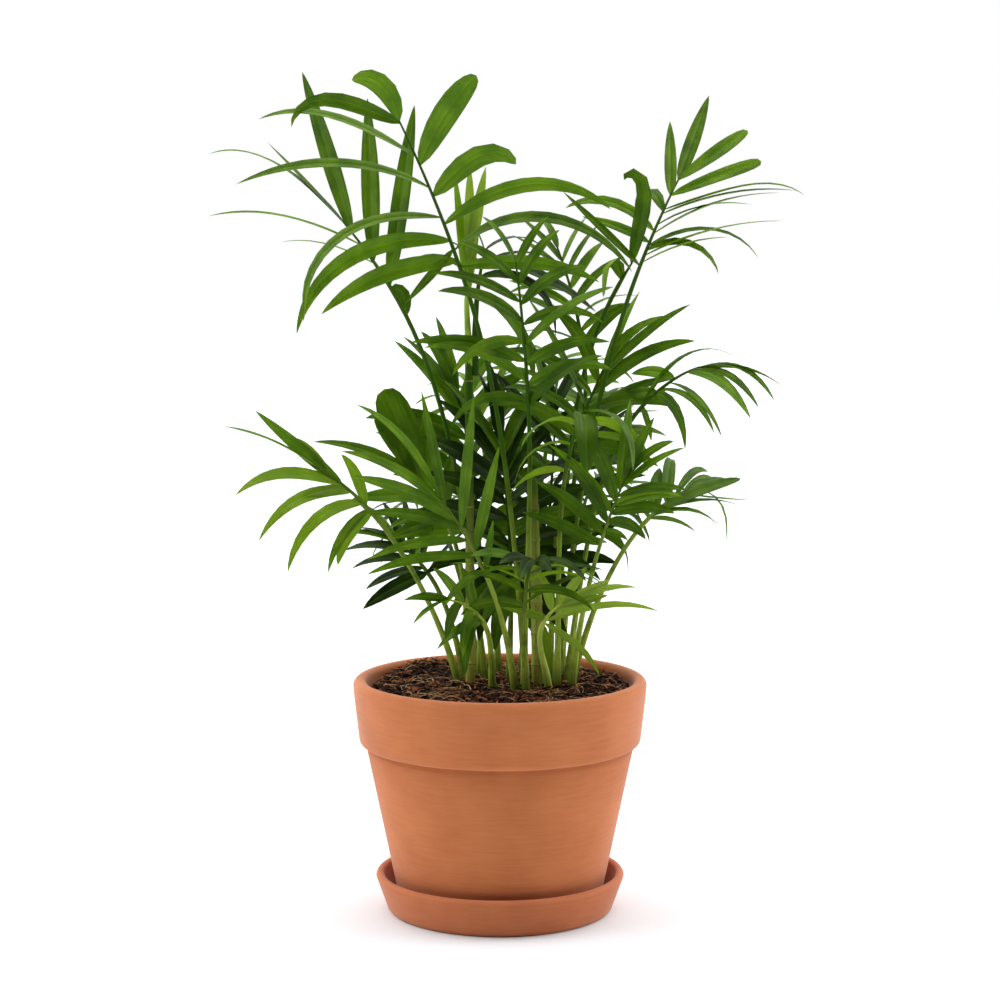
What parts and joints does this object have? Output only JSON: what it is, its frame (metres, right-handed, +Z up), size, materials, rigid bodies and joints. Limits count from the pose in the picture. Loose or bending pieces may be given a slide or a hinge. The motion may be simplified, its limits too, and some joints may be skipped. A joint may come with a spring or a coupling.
{
  "type": "potted parlour palm",
  "caption": "Parlour palm with arching feathered fronds, growing in a round clay pot that stands on its clay saucer.",
  "frame": {"origin": "centre of the saucer's flat underside, which stands on the surface", "axes": "+Z up along the pot's axis, +X to the right seen from the front, -Y towards the front"},
  "size_m": [0.3378, 0.3103, 0.461],
  "materials": {
    "clay_pot": "matte fired clay",
    "clay_saucer": "matte fired clay",
    "compost": "moist bark compost",
    "cane": "smooth ringed cane",
    "frond": "satin leaf"
  },
  "bodies": {
    "root": {"saucer": "clay_saucer", "pot": "clay_pot", "compost": "compost", "cane_tall": "cane", "cane_thick": "cane", "frond_top_left": "frond", "frond_upper_left": "frond", "frond_top_right": "frond", "frond_upper_right": "frond", "frond_mid_right": "frond", "frond_low_right": "frond", "frond_low_left": "frond", "frond_front_left": "frond", "frond_pale": "frond", "frond_centre": "frond", "frond_behind_centre": "frond", "frond_cane_side": "frond", "frond_spear": "frond", "frond_foot_left": "frond", "frond_back_left": "frond", "frond_broad_left": "frond", "frond_inner_right": "frond", "frond_bent": "frond", "frond_front_right": "frond", "frond_inner_left": "frond", "frond_heart_front": "frond", "frond_heart_back": "frond", "frond_forward": "frond", "frond_back_right": "frond", "frond_rear_left": "frond", "frond_rear_right": "frond", "frond_rear_low_right": "frond", "frond_rear_low_left": "frond"}
  },
  "joints": []
}
